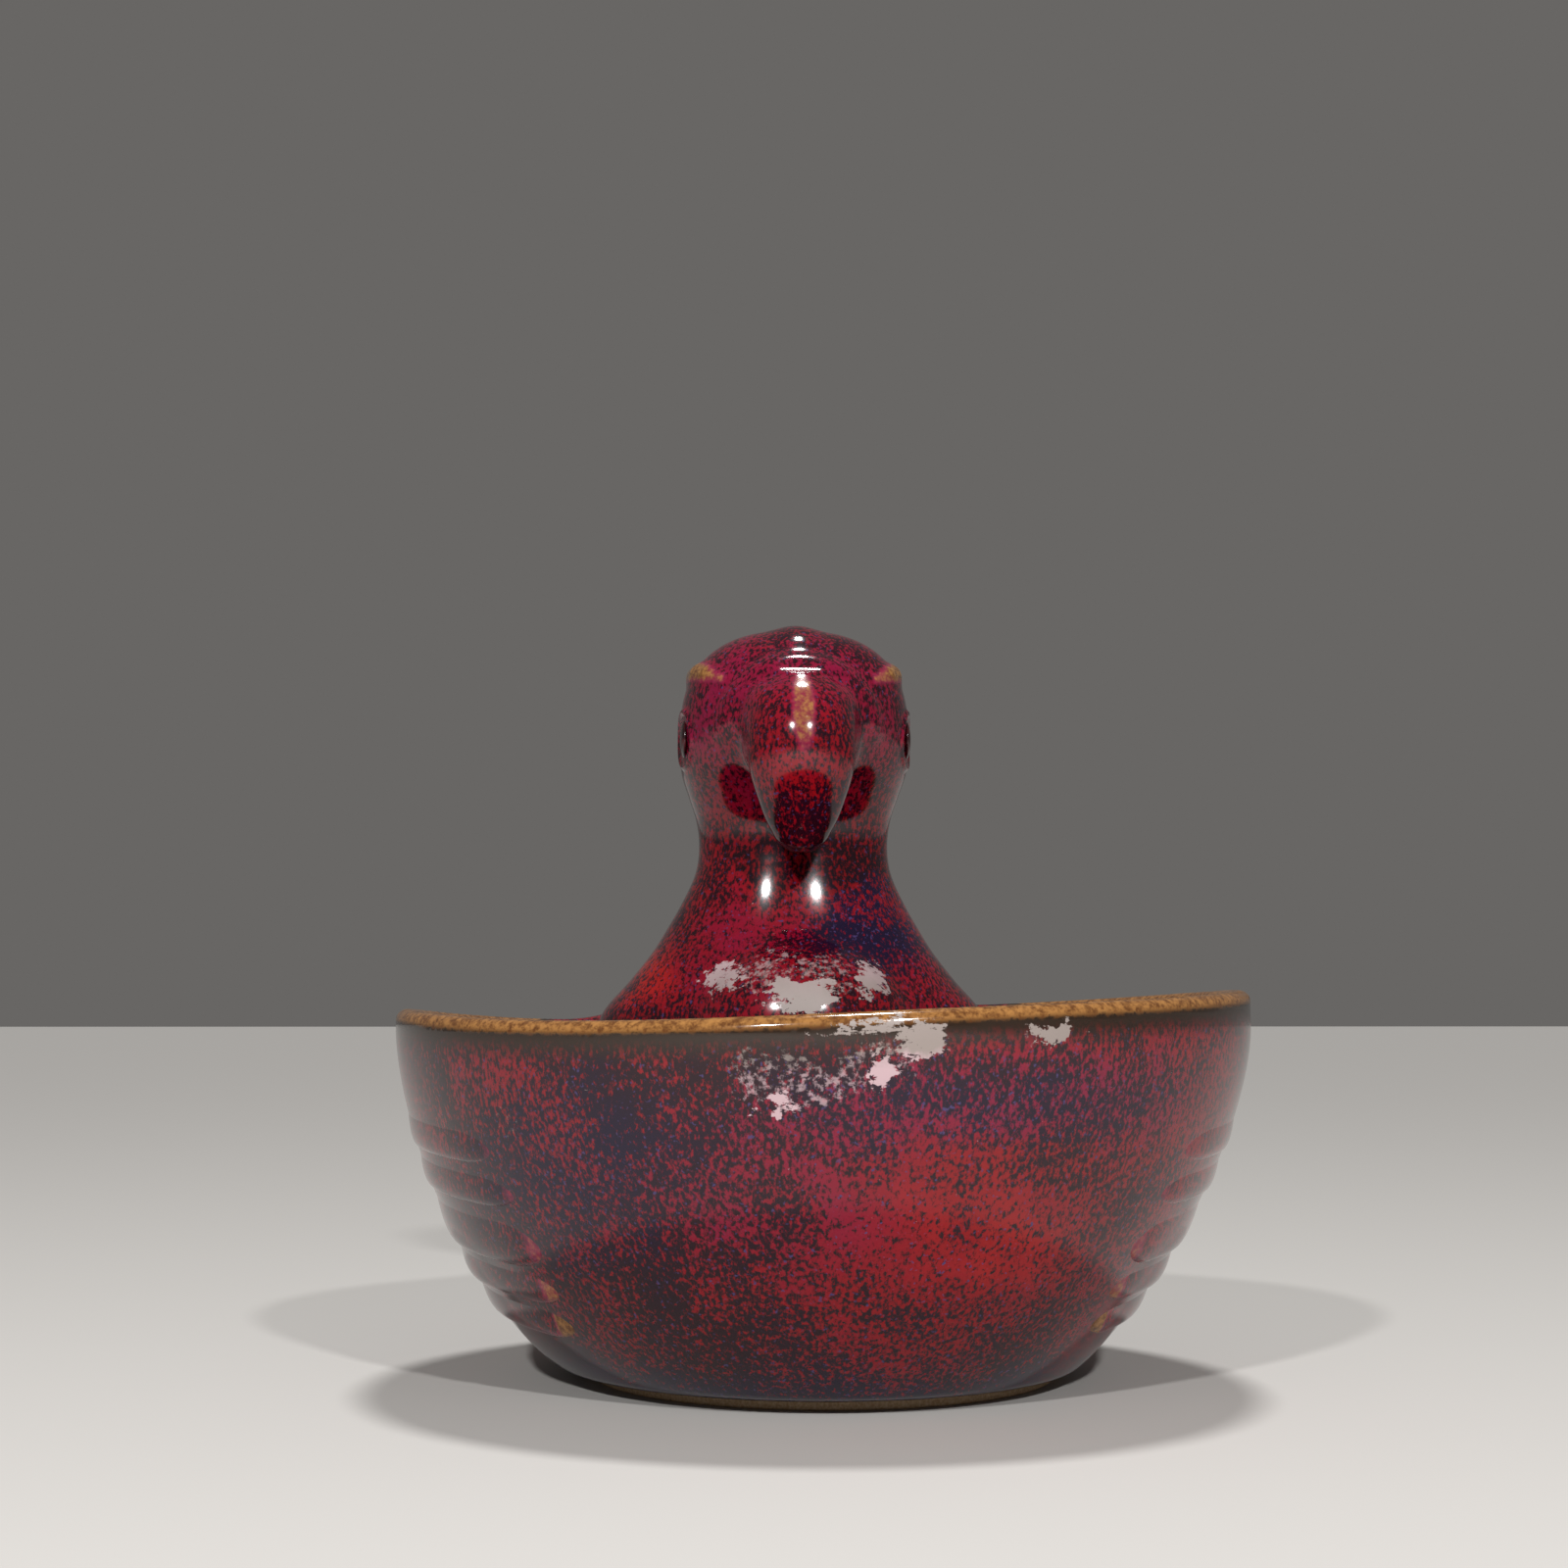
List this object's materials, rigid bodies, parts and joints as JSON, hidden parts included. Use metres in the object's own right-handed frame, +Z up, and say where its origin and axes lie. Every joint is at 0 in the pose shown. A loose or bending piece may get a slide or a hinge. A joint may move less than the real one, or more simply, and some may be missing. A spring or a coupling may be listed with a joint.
{
  "type": "brush washer",
  "caption": "Glazed ceramic brush washer: an oval bowl in the form of a parrot, with low-relief wings on its sides and the neck at one end, its head turned back over the bowl.",
  "frame": {"origin": "on the table, under the middle of the bowl", "axes": "+Z up, +Y from the bowl's open end to the neck, +X to the right when facing the bird's face"},
  "size_m": [0.1248, 0.1378, 0.1162],
  "materials": {
    "flambe_glaze": "gloss",
    "thin_glaze": "gloss",
    "dark_glaze": "gloss",
    "bare_clay": "matte"
  },
  "bodies": {
    "root": {"foot_ring": "bare_clay", "bowl": "flambe_glaze", "mantle": "flambe_glaze", "neck": "flambe_glaze", "head": "flambe_glaze", "upper_beak": "flambe_glaze", "lower_beak": "flambe_glaze", "left_eye_ring": "flambe_glaze", "left_shoulder": "flambe_glaze", "left_wing_feather_1": "flambe_glaze", "left_wing_feather_2": "flambe_glaze", "left_wing_feather_3": "flambe_glaze", "left_wing_feather_4": "flambe_glaze", "left_wing_feather_5": "flambe_glaze", "left_wing_covert_1": "flambe_glaze", "left_wing_covert_2": "flambe_glaze", "left_wing_covert_3": "flambe_glaze", "right_eye_ring": "flambe_glaze", "right_shoulder": "flambe_glaze", "right_wing_feather_1": "flambe_glaze", "right_wing_feather_2": "flambe_glaze", "right_wing_feather_3": "flambe_glaze", "right_wing_feather_4": "flambe_glaze", "right_wing_feather_5": "flambe_glaze", "right_wing_covert_1": "flambe_glaze", "right_wing_covert_2": "flambe_glaze", "right_wing_covert_3": "flambe_glaze", "cere": "thin_glaze", "crest": "thin_glaze", "left_brow": "thin_glaze", "right_brow": "thin_glaze", "left_eye": "dark_glaze", "right_eye": "dark_glaze"}
  },
  "joints": []
}
